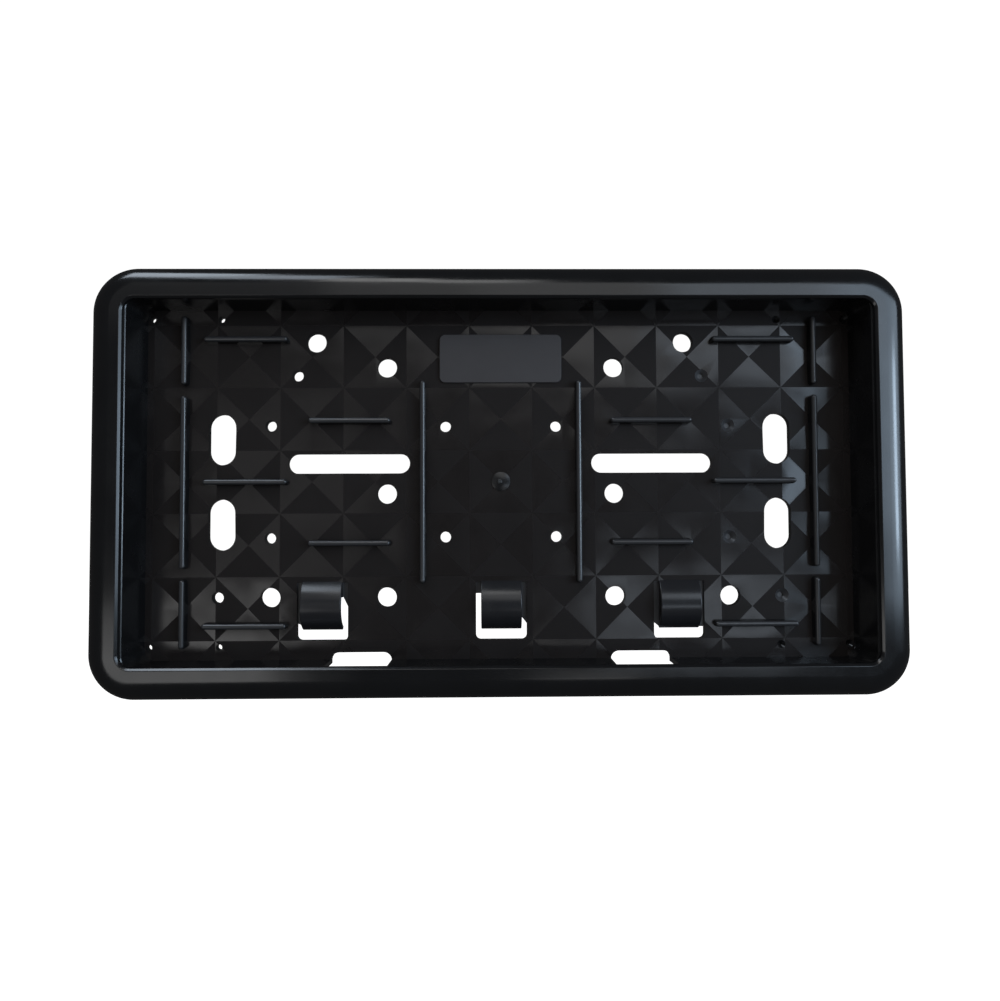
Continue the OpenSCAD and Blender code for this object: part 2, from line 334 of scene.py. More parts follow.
bar_ring(0.0, 0.0)
for share_in, share_down in EDGE_LEVELS:
    edge_in = maths(BAR, "MULTIPLY", bar_in["Edge"], share_in)
    edge_down = maths(BAR, "MULTIPLY", bar_in["Edge"], share_down)
    inset = maths(BAR, "ADD", bar_in["Draft"], edge_in)
    bar_ring(inset, maths(BAR, "SUBTRACT", bar_in["Height"], edge_down))
bar_real = step(BAR, "GeometryNodeRealizeInstances", {"Geometry": bar_rings.outputs[0]})
bar_hull = step(BAR, "GeometryNodeConvexHull", {"Geometry": bar_real.outputs[0]})
close_tree(BAR, bar_hull.outputs[0], bar_in["Finish"])


def bar(length, width, radius, low, high, place, finish_name,
        draft=0.0, edge=0.0, upright=False, steps=32):
    """A rounded bar from low to high, with its middle at place."""
    mesh = grow(BAR, {
        "Length": length,
        "Width": width,
        "Corner radius": radius,
        "Height": high - low,
        "Draft": draft,
        "Edge": edge,
        "Steps": steps,
        "Finish": finish[finish_name],
    })
    turn = Matrix.Rotation(math.pi / 2, 4, "Z") if upright else Matrix.Identity(4)
    mesh.transform(Matrix.Translation((place[0], place[1], low)) @ turn)
    return mesh


# %% [markdown]
# ## Joining and cutting
# The mould fills as one solid, so the pieces are joined to one closed skin. The Manifold solver is
# quick and stays watertight, as long as both sides of each cut are closed.

# %% Helpers that join and cut
def boolean(body, tool, operation):
    """Joins tool to body, cuts it out or keeps what both share. The tool's mesh is used up."""
    tool_object = bpy.data.objects.new("tool", tool)
    bpy.context.scene.collection.objects.link(tool_object)
    modifier = body.modifiers.new("boolean", "BOOLEAN")
    modifier.operation = operation
    modifier.solver = "MANIFOLD"
    modifier.object = tool_object
    graph = bpy.context.evaluated_depsgraph_get()
    result = bpy.data.meshes.new_from_object(body.evaluated_get(graph))
    body.modifiers.remove(modifier)
    old = body.data
    body.data = result
    bpy.data.meshes.remove(old)
    bpy.data.objects.remove(tool_object)
    bpy.data.meshes.remove(tool)


def solid(name, mesh):
    """An object for a mesh, linked to the scene."""
    piece = bpy.data.objects.new(name, mesh)
    bpy.context.scene.collection.objects.link(piece)
    return piece


OUTLINE_STEPS = 4 * CORNER_STEPS
tray = solid("plate_tray", rim)
boolean(tray, wall, "UNION")
recess = bar(RECESS_W, RECESS_H, RECESS_R, -THROUGH, SKIN_Z, (0, 0), "wall_gloss", steps=OUTLINE_STEPS)
boolean(tray, recess, "DIFFERENCE")
print("frame of the tray:", len(tray.data.polygons), "faces")

# %% [markdown]
# ## The floor of pyramids
# The floor is a grid whose depth follows a rule: the lower of two zigzags, one along each side. That
# gives low square pyramids that point down into the floor, so their facets mirror the room as dents do.
# The quads are split along their longer diagonal, which runs from a corner of a pyramid to its tip. The
# same rule says which triangles are etched, in a checkerboard.

# %% Tree for the relief
RELIEF, relief_in = start_tree("Pyramid relief", [
    ("Pitch", "Float"),
    ("Relief", "Float"),
    ("Thickness", "Float"),
    ("Half steps across", "Int"),
    ("Half steps up", "Int"),
    ("Rise", "Float"),
    ("Polished", "Material"),
    ("Etched", "Material"),
    ("Back", "Material"),
])


def relief_span(count):
    """Length of a number of half pitches."""
    return maths(RELIEF, "MULTIPLY", maths(RELIEF, "MULTIPLY", relief_in["Pitch"], 0.5), count)


relief_size = step(RELIEF, "ShaderNodeCombineXYZ", {
    "X": relief_span(relief_in["Half steps across"]),
    "Y": relief_span(relief_in["Half steps up"]),
    "Z": relief_in["Thickness"],
})
relief_block = step(RELIEF, "GeometryNodeMeshCube", {
    "Size": relief_size.outputs[0],
    "Vertices X": maths(RELIEF, "ADD", relief_in["Half steps across"], 1.0),
    "Vertices Y": maths(RELIEF, "ADD", relief_in["Half steps up"], 1.0),
    "Vertices Z": 2,
})
relief_point = step(RELIEF, "GeometryNodeInputPosition")
relief_place = step(RELIEF, "ShaderNodeSeparateXYZ", {0: relief_point.outputs[0]})
relief_on_top = maths(RELIEF, "GREATER_THAN", relief_place.outputs["Z"], 0.0)
relief_column = maths(RELIEF, "DIVIDE", relief_place.outputs["X"], relief_in["Pitch"])
relief_row = maths(RELIEF, "DIVIDE", relief_place.outputs["Y"], relief_in["Pitch"])


def zigzag(turns):
    """1 on whole numbers, 0 halfway between them."""
    doubled = maths(RELIEF, "MULTIPLY", maths(RELIEF, "PINGPONG", turns, 0.5), 2.0)
    return maths(RELIEF, "SUBTRACT", 1.0, doubled)


relief_pit = maths(RELIEF, "MINIMUM", zigzag(relief_column), zigzag(relief_row))
relief_left = maths(RELIEF, "SUBTRACT", 1.0, relief_pit)
relief_height = maths(RELIEF, "MULTIPLY", relief_left, relief_in["Relief"])
relief_lift = step(RELIEF, "ShaderNodeCombineXYZ", {"Z": relief_height})
relief_shaped = step(RELIEF, "GeometryNodeSetPosition", {
    "Geometry": relief_block.outputs[0],
    "Selection": relief_on_top,
    "Offset": relief_lift.outputs[0],
})
relief_split = step(RELIEF, "GeometryNodeTriangulate", {
    "Mesh": relief_shaped.outputs[0],
}, quad_method="LONGEST_DIAGONAL")


def off_tip(turns):
    """How far a face's middle lies from the nearest pyramid's tip, and that pyramid's number."""
    nearest = maths(RELIEF, "ROUND", turns)
    return maths(RELIEF, "ABSOLUTE", maths(RELIEF, "SUBTRACT", turns, nearest)), nearest


column_off, column_number = off_tip(relief_column)
row_off, row_number = off_tip(relief_row)
relief_sideways = maths(RELIEF, "GREATER_THAN", column_off, row_off)
relief_sum = maths(RELIEF, "ADD", maths(RELIEF, "ADD", column_number, row_number), relief_sideways)
relief_even = maths(RELIEF, "PINGPONG", relief_sum, 1.0)
relief_etched = maths(RELIEF, "GREATER_THAN", relief_even, 0.5)
relief_back = maths(RELIEF, "LESS_THAN", relief_place.outputs["Z"], 0.0)
relief_first = step(RELIEF, "GeometryNodeSetMaterial", {
    "Geometry": relief_split.outputs[0],
    "Material": relief_in["Polished"],
})
relief_second = step(RELIEF, "GeometryNodeSetMaterial", {
    "Geometry": relief_first.outputs[0],
    "Selection": relief_etched,
    "Material": relief_in["Etched"],
})
relief_third = step(RELIEF, "GeometryNodeSetMaterial", {
    "Geometry": relief_second.outputs[0],
    "Selection": relief_back,
    "Material": relief_in["Back"],
})
relief_shift = step(RELIEF, "ShaderNodeCombineXYZ", {
    "Y": relief_in["Rise"],
    "Z": maths(RELIEF, "MULTIPLY", relief_in["Thickness"], 0.5),
})
relief_moved = step(RELIEF, "GeometryNodeTransform", {
    "Geometry": relief_third.outputs[0],
    "Translation": relief_shift.outputs[0],
})
relief_real = step(RELIEF, "GeometryNodeRealizeInstances", {"Geometry": relief_moved.outputs[0]})
RELIEF.links.new(relief_real.outputs[0], RELIEF.nodes.new("NodeGroupOutput").inputs[0])

# %% The floor, cut to the recess
HALF_STEPS_ACROSS = 26
HALF_STEPS_UP = 14
floor_mesh = grow(RELIEF, {
    "Pitch": RELIEF_PITCH,
    "Relief": RELIEF_H,
    "Thickness": FLOOR_T,
    "Half steps across": HALF_STEPS_ACROSS,
    "Half steps up": HALF_STEPS_UP,
    "Rise": PATTERN_RISE,
    "Polished": finish["facet_polished"],
    "Etched": finish["facet_etched"],
    "Back": finish["back_satin"],
})
floor = solid("floor", floor_mesh)
outline_size = (RECESS_W + WALL, RECESS_H + WALL, RECESS_R + WALL / 2)
outline = bar(*outline_size, -THROUGH, FRAME_D, (0, 0), "back_satin", steps=OUTLINE_STEPS)
boolean(floor, outline, "INTERSECT")
floor_mesh = floor.data
bpy.data.objects.remove(floor)
print("floor:", len(floor_mesh.polygons), "faces")
boolean(tray, floor_mesh, "UNION")

# %% [markdown]
# ## Ribs, plaque and gate
# The plate lies on thin ribs with rounded tops, which keep the floor stiff. Above the middle sits a
# plain raised plaque. In the middle is the gate, where the plastic ran into the mould: a low glossy
# dome with the torn stub of the sprue. The dome is turned on a lathe, and its stub is left uneven.

# %% Ribs and plaque
RIB_T = 3.0
RIB_H = 4.2
RIB_TOP = FLOOR_T + RIB_H
RIB_DRAFT = 0.2
RIB_EDGE = 1.25
LEVEL_RIBS = [
    (63.1, 93.7, 131),
    (0, 93.7, 131),
    (-63.1, 93.7, 131),
    (27, 48.4, 85),
    (-27, 48.4, 85),
]
UPRIGHT_RIBS = [
    (34.5, -44.9, 44.9),
    (139.3, -38.3, 38.3),
    (139.3, 42.6, 73.5),
    (139.3, -73, -42.5),
]
BURIED = FLOOR_T / 2


def rib(start, end, across, side, upright):
    """One rib between two ends, with its foot buried in the floor."""
    middle = (start + end) / 2
    place = (side * across, middle + PATTERN_RISE) if upright else (side * middle, across + PATTERN_RISE)
    size = (end - start, RIB_T, RIB_T / 2)
    return bar(*size, BURIED, RIB_TOP, place, "rib_gloss", RIB_DRAFT, RIB_EDGE, upright)


for side in (-1, 1):
    for height, start, end in LEVEL_RIBS:
        boolean(tray, rib(start, end, height, side, False), "UNION")
    for across, start, end in UPRIGHT_RIBS:
        boolean(tray, rib(start, end, across, side, True), "UNION")
PLAQUE_W = 54.5
PLAQUE_H = 21.8
PLAQUE_R = 2.6
PLAQUE_LIFT = 0.8
PLAQUE_TOP = FLOOR_TOP + PLAQUE_LIFT
PLAQUE_Z = 54.8
PLAQUE_DRAFT = 0.1
PLAQUE_EDGE = 0.35
plaque_at = (0.0, PLAQUE_Z + PATTERN_RISE)
plaque_size = (PLAQUE_W, PLAQUE_H, PLAQUE_R)
plaque = bar(*plaque_size, BURIED, PLAQUE_TOP, plaque_at, "plaque_satin", PLAQUE_DRAFT, PLAQUE_EDGE)
boolean(tray, plaque, "UNION")
print("ribs and plaque joined:", len(tray.data.polygons), "faces")


# %% Gate mark
def lathe(profile, place, finish_name, steps=48, wobble=None):
    """Closed turned shape: profile points are (radius, height), from the axis and back to it."""
    work = bmesh.new()
    rings = []
    for level, (radius, height) in enumerate(profile):
        if radius == 0:
            rings.append([work.verts.new((place[0], place[1], height))])
            continue
        ring = []
        for k in range(steps):
            turn = 2 * math.pi * k / steps
            reach = radius * (1 + (wobble(level, turn) if wobble else 0))
            x = place[0] + reach * math.cos(turn)
            y = place[1] + reach * math.sin(turn)
            ring.append(work.verts.new((x, y, height)))
        rings.append(ring)
    for low, high in zip(rings, rings[1:]):
        for k in range(steps):
            lower = [low[k % len(low)], low[(k + 1) % len(low)]]
            upper = [high[(k + 1) % len(high)], high[k % len(high)]]
            work.faces.new(list(dict.fromkeys(lower + upper)))
    bmesh.ops.recalc_face_normals(work, faces=work.faces)
    mesh = bpy.data.meshes.new("lathe")
    work.to_mesh(mesh)
    work.free()
    mesh.materials.append(finish[finish_name])
    common_finishes(mesh)
    return mesh


GATE_R = 4.2
DOME_H = 0.52
DOME_STEPS = 6
gate_at = (0.0, PATTERN_RISE)
dome_r = (GATE_R ** 2 + DOME_H ** 2) / (2 * DOME_H)
dome = [(0.0, BURIED), (GATE_R, BURIED), (GATE_R, FLOOR_TOP)]
for k in range(1, DOME_STEPS + 1):
    turn = math.asin(GATE_R / dome_r) * (1 - k / DOME_STEPS)
    dome.append((dome_r * math.sin(turn), FLOOR_TOP + DOME_H - dome_r * (1 - math.cos(turn))))
dome[-1] = (0.0, FLOOR_TOP + DOME_H)
boolean(tray, lathe(dome, gate_at, "rib_gloss"), "UNION")


def torn(level, turn):
    """Uneven outline of the sprue's stub."""
    return 0.12 * math.sin(3 * turn + level) + 0.08 * math.sin(7 * turn + 2 * level)


STUB_R = 1.05
STUB_X = -0.5
STUB_STEPS = 24
STUB_TOP = FLOOR_TOP + 2 * DOME_H
stub = [
    (0.0, BURIED),
    (STUB_R, BURIED),
    (STUB_R, STUB_TOP - 0.35),
    (STUB_R * 0.8, STUB_TOP - 0.1),
    (STUB_R * 0.45, STUB_TOP),
    (0.0, STUB_TOP - 0.3),
]
boolean(tray, lathe(stub, (STUB_X, PATTERN_RISE), "gate_scar", STUB_STEPS, torn), "UNION")
print("gate mark joined:", len(tray.data.polygons), "faces")

# %% [markdown]
# ## Drilling the holes
# The round holes repeat in a few sizes. One tree sets a drill on each point of a list. The drill
# widens a little above the floor, as a moulded hole does at its mouth. On the left the pilot holes and
# vents are open, on the right they are blind marks: a cone that narrows to a pit.

# %% Tree that sets a drill on each point
DRILL, drill_in = start_tree("Drill at each point", [
    ("Radius", "Float"),
    ("Bottom", "Float"),
    ("Neck", "Float"),
    ("Top", "Float"),
    ("Mouth radius", "Float"),
    ("Finish", "Material"),
])
drill_rod = step(DRILL, "GeometryNodeMeshCylinder", {
    "Vertices": 48,
    "Side Segments": 2,
    "Radius": 1.0,
    "Depth": 2.0,
})
drill_point = step(DRILL, "GeometryNodeInputPosition")
drill_at = step(DRILL, "ShaderNodeSeparateXYZ", {0: drill_point.outputs[0]})
drill_high = maths(DRILL, "GREATER_THAN", drill_at.outputs["Z"], 0.5)
drill_low = maths(DRILL, "LESS_THAN", drill_at.outputs["Z"], -0.5)


def drill_choice(low, neck, high):
    """Picks a value for the bottom ring, the neck ring or the mouth ring."""
    lower = step(DRILL, "GeometryNodeSwitch", {
        "Switch": drill_low,
        "False": neck,
        "True": low,
    }, input_type="FLOAT")
    upper = step(DRILL, "GeometryNodeSwitch", {
        "Switch": drill_high,
        "False": lower.outputs[0],
        "True": high,
    }, input_type="FLOAT")
    return upper.outputs[0]


drill_reach = drill_choice(drill_in["Radius"], drill_in["Radius"], drill_in["Mouth radius"])
drill_height = drill_choice(drill_in["Bottom"], drill_in["Neck"], drill_in["Top"])
drill_place = step(DRILL, "ShaderNodeCombineXYZ", {
    "X": maths(DRILL, "MULTIPLY", drill_at.outputs["X"], drill_reach),
    "Y": maths(DRILL, "MULTIPLY", drill_at.outputs["Y"], drill_reach),
    "Z": drill_height,
})
drill_bit = step(DRILL, "GeometryNodeSetPosition", {
    "Geometry": drill_rod.outputs[0],
    "Position": drill_place.outputs[0],
})
drill_set = step(DRILL, "GeometryNodeInstanceOnPoints", {
    "Points": drill_in["Geometry"],
    "Instance": drill_bit.outputs[0],
})
close_tree(DRILL, drill_set.outputs[0], drill_in["Finish"])


def drill(places, radius, bottom, neck, mouth, finish_name="wall_gloss"):
    """Cuts a hole at each place. The hole is straight up to the neck and widens to the mouth."""
    dots = bpy.data.meshes.new("dots")
    dots.from_pydata([(x, y + PATTERN_RISE, 0.0) for x, y in places], [], [])
    bits = grow(DRILL, {
        "Radius": radius,
        "Bottom": bottom,
        "Neck": neck,
        "Top": FLOOR_TOP + THROUGH,
        "Mouth radius": mouth,
        "Finish": finish[finish_name],
    }, dots)
    boolean(tray, bits, "DIFFERENCE")


# %% Round holes
MAIN_X = 50.5
MAIN_Z = 51.0
MIDDLE_X = 24.6
SCREW_R = 4.3
SMALL_R = 2.4
PILOT_R = 2.3
VENT_R = 1.2
NECK = FLOOR_T - 0.1
FLARE = 0.9
SCREWS = [(MAIN_X, MAIN_Z), (MAIN_X, -MAIN_Z), (MAIN_X, -5.4), (81.9, 62.3), (101.7, -51)]
MIDDLES = [(MIDDLE_X, MIDDLE_X), (MIDDLE_X, -MIDDLE_X)]
PILOTS = [(101.8, 24.9), (101.8, -24.9), (90, 47.3), (124.6, -50.9)]
VENTS = [(123.9, 72.5), (123.9, -72.5), (154.4, 72.5), (154.4, -72.5)]


def both_sides(places):
    """The places and their mirror images."""
    return [(side * x, y) for side in (-1, 1) for x, y in places]


drill(both_sides(SCREWS), SCREW_R, -THROUGH, NECK, SCREW_R + FLARE)
drill(both_sides(MIDDLES), SMALL_R, -THROUGH, NECK, SMALL_R + FLARE)
drill([(-x, y) for x, y in PILOTS], PILOT_R, -THROUGH, NECK, PILOT_R + FLARE)
drill([(-x, y) for x, y in VENTS], VENT_R, -THROUGH, NECK, VENT_R + FLARE / 2)
MARK_R = 2.5
PIT_R = 1.3
PIT_FLOOR = FLOOR_T / 4
CONE_H = MARK_R - PIT_R
VENT_PIT_R = VENT_R / 2
ABOVE = FLOOR_TOP + THROUGH - FLOOR_T
# The blind pilot marks take a lighter grey: a painted highlight for the bright ring round each mark.
drill(PILOTS, PIT_R, PIT_FLOOR, FLOOR_T - CONE_H, PIT_R + CONE_H + ABOVE, "painted_light_grey")
drill(VENTS, VENT_PIT_R, PIT_FLOOR, FLOOR_T - VENT_PIT_R, 2 * VENT_PIT_R + ABOVE)
print("holes drilled:", len(tray.data.polygons), "faces")

# %% [markdown]
# ## Slots, windows and spring tongues
# The long slots let the screws be set to the car. Two slots in the bottom wall take a screwdriver that
# lifts the plate, and let water out. Each spring tongue is a strip of the floor, arched forwards so
# that it presses on the plate, inside a U-shaped window. The tongue is swept along an arc.

# %% Long slots and bottom slots
def cut_bar(length, width, radius, place, top=FLOOR_TOP + THROUGH, low=-THROUGH,
            upright=False, finish_name="wall_gloss"):
    """Cuts a rounded bar out of the tray."""
    boolean(tray, bar(length, width, radius, low, top, place, finish_name, upright=upright), "DIFFERENCE")


UPRIGHT_SLOT = (22.6, 12.0)
UPRIGHT_SLOT_X = 123.3
UPRIGHT_SLOT_Z = 18.9
LEVEL_SLOT = (54.0, 8.7)
LEVEL_SLOT_X = 67.3
LEVEL_SLOT_Z = 8.1
DRAIN_L = 26.6
DRAIN_X = 61.6
DRAIN_REACH = 3.2
DRAIN_R = 3.6
DRAIN_SHARE = 0.8
DRAIN_TOP = FLOOR_T + DRAIN_SHARE * (SKIN_Z - FLOOR_T)
drain_w = DRAIN_REACH + WALL + RECESS_R
drain_y = DRAIN_REACH - RECESS_H / 2 - drain_w / 2
for side in (-1, 1):
    for height in (-UPRIGHT_SLOT_Z, UPRIGHT_SLOT_Z):
        slot_at = (side * UPRIGHT_SLOT_X, height + PATTERN_RISE)
        cut_bar(*UPRIGHT_SLOT, UPRIGHT_SLOT[1] / 2, slot_at, upright=True)
    cut_bar(*LEVEL_SLOT, LEVEL_SLOT[1] / 2, (side * LEVEL_SLOT_X, LEVEL_SLOT_Z + PATTERN_RISE))
    cut_bar(DRAIN_L, drain_w, DRAIN_R, (side * DRAIN_X, drain_y), top=DRAIN_TOP)
print("slots cut:", len(tray.data.polygons), "faces")

# %% Tree that arches a tongue
TONGUE, tongue_in = start_tree("Spring tongue", [
    ("Path", "Object"),
    ("Width", "Float"),
    ("Thickness", "Float"),
    ("Edge", "Float"),
    ("Finish", "Material"),
])
tongue_path = step(TONGUE, "GeometryNodeObjectInfo", {"Object": tongue_in["Path"]})
tongue_up = step(TONGUE, "GeometryNodeSetCurveNormal", {
    "Curve": tongue_path.outputs["Geometry"],
}, mode="Z_UP")
tongue_box = step(TONGUE, "GeometryNodeCurvePrimitiveQuadrilateral", {
    "Width": tongue_in["Thickness"],
    "Height": tongue_in["Width"],
})
tongue_section = step(TONGUE, "GeometryNodeFilletCurve", {
    "Curve": tongue_box.outputs[0],
    "Count": 4,
    "Radius": tongue_in["Edge"],
}, mode="POLY")
tongue_skin = step(TONGUE, "GeometryNodeCurveToMesh", {
    "Curve": tongue_up.outputs[0],
    "Profile Curve": tongue_section.outputs[0],
    "Fill Caps": True,
})
close_tree(TONGUE, tongue_skin.outputs[0], tongue_in["Finish"])

# %% Windows and tongues
TONGUE_W = 17.8
TONGUE_T = 1.8
TONGUE_RISE = 4.4
TONGUE_SPAN = 22.2
WINDOW_W = 22.5
WINDOW_H = 26.9
WINDOW_R = 2.2
WINDOW_TOP = 42.9
TONGUE_X = 78.8
TONGUES = [
    (-TONGUE_X, (20.5, 19.6), (8.0, 12.8)),
    (0.0, (6.6, 6.6), (17.0, 20.0)),
    (TONGUE_X, (21.6, 19.6), (21.8, 21.8)),
]
LEG_W = (WINDOW_W - TONGUE_W) / 2
BAR_H = WINDOW_H - TONGUE_SPAN
GROOVE_FLOOR = 1.4
GROOVE_START = 1.5
GROOVE_LAP = 0.5
GROOVE_R = 0.4
TONGUE_FOOT = 0.75 * FLOOR_T
TONGUE_TOP = FLOOR_TOP + TONGUE_RISE
TONGUE_EDGE = 0.35
CREST = 12.4
ROOT_TURN = 42
TIP_TURN = 151
ARCH_STEPS = 20


def prism(points, low, high, finish_name):
    """Closed block over a flat outline."""
    work = bmesh.new()
    lower = [work.verts.new((x, y, low)) for x, y in points]
    upper = [work.verts.new((x, y, high)) for x, y in points]
    work.faces.new(lower)
    work.faces.new(upper)
    for k in range(len(points)):
        after = (k + 1) % len(points)
        work.faces.new((lower[k], lower[after], upper[after], upper[k]))
    bmesh.ops.recalc_face_normals(work, faces=work.faces)
    mesh = bpy.data.meshes.new("prism")
    work.to_mesh(mesh)
    work.free()
    mesh.materials.append(finish[finish_name])
    common_finishes(mesh)
    return mesh


def window(x, legs):
    """The U-shaped window round one tongue: a bar below it, a leg up each side and the floor between."""
    top = PATTERN_RISE - WINDOW_TOP
    bar_at = top - WINDOW_H + BAR_H / 2
    cut_bar(WINDOW_W, BAR_H, WINDOW_R, (x, bar_at))
    open_top = top - min(start[0] for start in legs)
    inner = TONGUE_W / 2
    outer = WINDOW_W / 2
    between = [(x - inner, bar_at), (x + inner, bar_at), (x + inner, open_top), (x - inner, open_top)]
    boolean(tray, prism(between, -THROUGH, FLOOR_TOP + THROUGH, "wall_gloss"), "DIFFERENCE")
    for side, (start, far_start) in zip((-1, 1), legs):
        near, far = x + side * inner, x + side * outer
        leg = [(near, bar_at), (far, bar_at), (far, top - far_start), (near, top - start)]
        boolean(tray, prism(leg, -THROUGH, FLOOR_TOP + THROUGH, "wall_gloss"), "DIFFERENCE")
        groove_end = max(start, far_start) + GROOVE_LAP
        groove_l = groove_end - GROOVE_START
        groove_at = ((near + far) / 2, top - (GROOVE_START + groove_end) / 2)
        # The groove floor takes a lighter grey: painted light, in place of light showing through beside
        # the tongue.
        cut_bar(LEG_W, groove_l, GROOVE_R, groove_at, low=GROOVE_FLOOR, finish_name="painted_light_grey")


def half_arch(reach, start, end):
    """Middle line of one side of a tongue, about its crest, between two angles."""
    rise = TONGUE_TOP - TONGUE_FOOT
    radius = (reach ** 2 + rise ** 2) / (2 * rise)
    return bow((0.0, TONGUE_TOP - radius), radius - TONGUE_T / 2, start, end, ARCH_STEPS)


def tongue(x):
    """One tongue, which climbs slowly from its root and falls faster to its free tip."""
    line = half_arch(CREST, ROOT_TURN, 90) + half_arch(TONGUE_SPAN - CREST, 90, TIP_TURN)[1:]
    path = section_curve("tongue_path", [(out, -up) for out, up in line])
    path.data.splines[0].use_cyclic_u = False
    mesh = grow(TONGUE, {
        "Path": path,
        "Width": TONGUE_W,
        "Thickness": TONGUE_T,
        "Edge": TONGUE_EDGE,
        "Finish": finish["tongue_gloss"],
    })
    bpy.data.objects.remove(path)
    root_at = PATTERN_RISE - WINDOW_TOP
    mesh.transform(Matrix(((0, 0, 1, x), (1, 0, 0, root_at - CREST), (0, 1, 0, 0), (0, 0, 0, 1))))
    return mesh


for x, left, right in TONGUES:
    window(x, (left, right))
for x, left, right in TONGUES:
    boolean(tray, tongue(x), "UNION")
print("windows cut and tongues joined:", len(tray.data.polygons), "faces")

# %% [markdown]
# ## Standing the tray up
# The finished skin is stood up, brought to metres and shaded. The facets of the floor stay flat, as the
# toolmaker cut them. Everything else is smooth up to an angle, and its normals are weighted by face
# size, so that the flat faces stay calm next to the rounded ones.

# %% Stand up, shade and hand over
STAND = Matrix.Rotation(math.pi / 2, 4, "X") @ Matrix.Scale(MM, 4)
tray.data.transform(STAND)
SMOOTH_BELOW = math.radians(32)
FLAT = {FINISH_NAMES.index("facet_etched"), FINISH_NAMES.index("facet_polished")}
smooth = [face.material_index not in FLAT for face in tray.data.polygons]
tray.data.polygons.foreach_set("use_smooth", smooth)
tray.data.set_sharp_from_angle(angle=SMOOTH_BELOW)
weighted = tray.modifiers.new("weighted normals", "WEIGHTED_NORMAL")
weighted.keep_sharp = True
weighted.weight = 80
check = bmesh.new()
check.from_mesh(tray.data)
open_edges = sum(1 for edge in check.edges if not edge.is_manifold)
volume = check.calc_volume() / MM ** 3
check.free()
print("tray:", len(tray.data.polygons), "faces,", open_edges, "open edges,", round(volume), "mm3")
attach(tray, "root")
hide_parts("plate_holder")

# %% [markdown]
# ## Materials
# Black plastic shows almost no colour of its own: nearly all that the eye sees is what it mirrors. So
# the base is a very dark grey, and the finishes differ in how sharply they mirror and how even their
# surface is. A broad soft bump stands for the slight waviness of moulded plastic, and a fine one for
# the grain that the mould leaves. The tops of the ribs are painted a little lighter: a painted highlight.
# One lighter grey is painted light too, beside the tongues and in the blind pilot marks.

# %% Helper for a plastic finish
MOTTLE = 0.2
MOTTLE_SCALE = 55.0
GRAIN_SCALE = 900.0


def plastic(name, colour, rough, rough_spread, wave, grain, specular=0.5, wave_scale=14.0):
    """Fills one finish. Scales are per metre and bumps in metres, as Object coordinates are."""
    material = finish[name]
    material.use_nodes = True
    tree = material.node_tree
    shader = tree.nodes["Principled BSDF"]
    shader.inputs["Specular IOR Level"].default_value = specular
    shader.inputs["IOR"].default_value = 1.5
    place = step(tree, "ShaderNodeTexCoord").outputs["Object"]
    mottle = step(tree, "ShaderNodeTexNoise", {
        "Vector": place,
        "Scale": MOTTLE_SCALE,
        "Detail": 3.0,
        "Roughness": 0.6,
    })
    rough_range = step(tree, "ShaderNodeMapRange", {
        "Value": mottle.outputs[0],
        "From Min": 0.3,
        "From Max": 0.7,
        "To Min": rough - rough_spread,
        "To Max": rough + rough_spread,
    })
    tree.links.new(rough_range.outputs[0], shader.inputs["Roughness"])
    blend = tree.nodes.new("ShaderNodeMix")
    blend.data_type = "RGBA"
    tree.links.new(mottle.outputs[0], blend.inputs[0])
    blend.inputs[6].default_value = (*[(1 - MOTTLE) * part for part in colour], 1.0)
    blend.inputs[7].default_value = (*[(1 + MOTTLE) * part for part in colour], 1.0)
    tree.links.new(blend.outputs[2], shader.inputs["Base Color"])
    slow = step(tree, "ShaderNodeTexNoise", {"Vector": place, "Scale": wave_scale, "Detail": 1.0})
    fine = step(tree, "ShaderNodeTexNoise", {"Vector": place, "Scale": GRAIN_SCALE, "Detail": 2.0})
    waviness = step(tree, "ShaderNodeBump", {"Height": slow.outputs[0], "Strength": 1.0, "Distance": wave})
    texture = step(tree, "ShaderNodeBump", {
        "Height": fine.outputs[0],
        "Normal": waviness.outputs[0],
        "Strength": 1.0,
        "Distance": grain,
    })
    tree.links.new(texture.outputs[0], shader.inputs["Normal"])
    return tree, shader, place


# %% The finishes of the tray
BLACK = (0.006, 0.006, 0.0065)
# Painted highlight: the top of each rib is blended to a lighter grey, in place of light catching its
# rounded top.
RIB_TOP_HIGHLIGHT = (0.030, 0.030, 0.0315)
TOP_HIGHLIGHT_START = RIB_TOP - 1.2
TOP_HIGHLIGHT_FULL = RIB_TOP - 0.2
plastic("rim_gloss", BLACK, 0.16, 0.03, 0.0003, 0.000001)
plastic("wall_gloss", BLACK, 0.25, 0.04, 0.0003, 0.000002)
plastic("facet_etched", (0.0136, 0.0114, 0.0108), 0.55, 0.04, 0.0001, 0.000004, 0.09)
plastic("facet_polished", (0.0112, 0.0092, 0.0088), 0.19, 0.03, 0.0004, 0.000002, 0.5, 45.0)
rib_tree, rib_shader, rib_place = plastic("rib_gloss", BLACK, 0.22, 0.04, 0.0001, 0.000001)
rib_depth = step(rib_tree, "ShaderNodeSeparateXYZ", {0: rib_place})
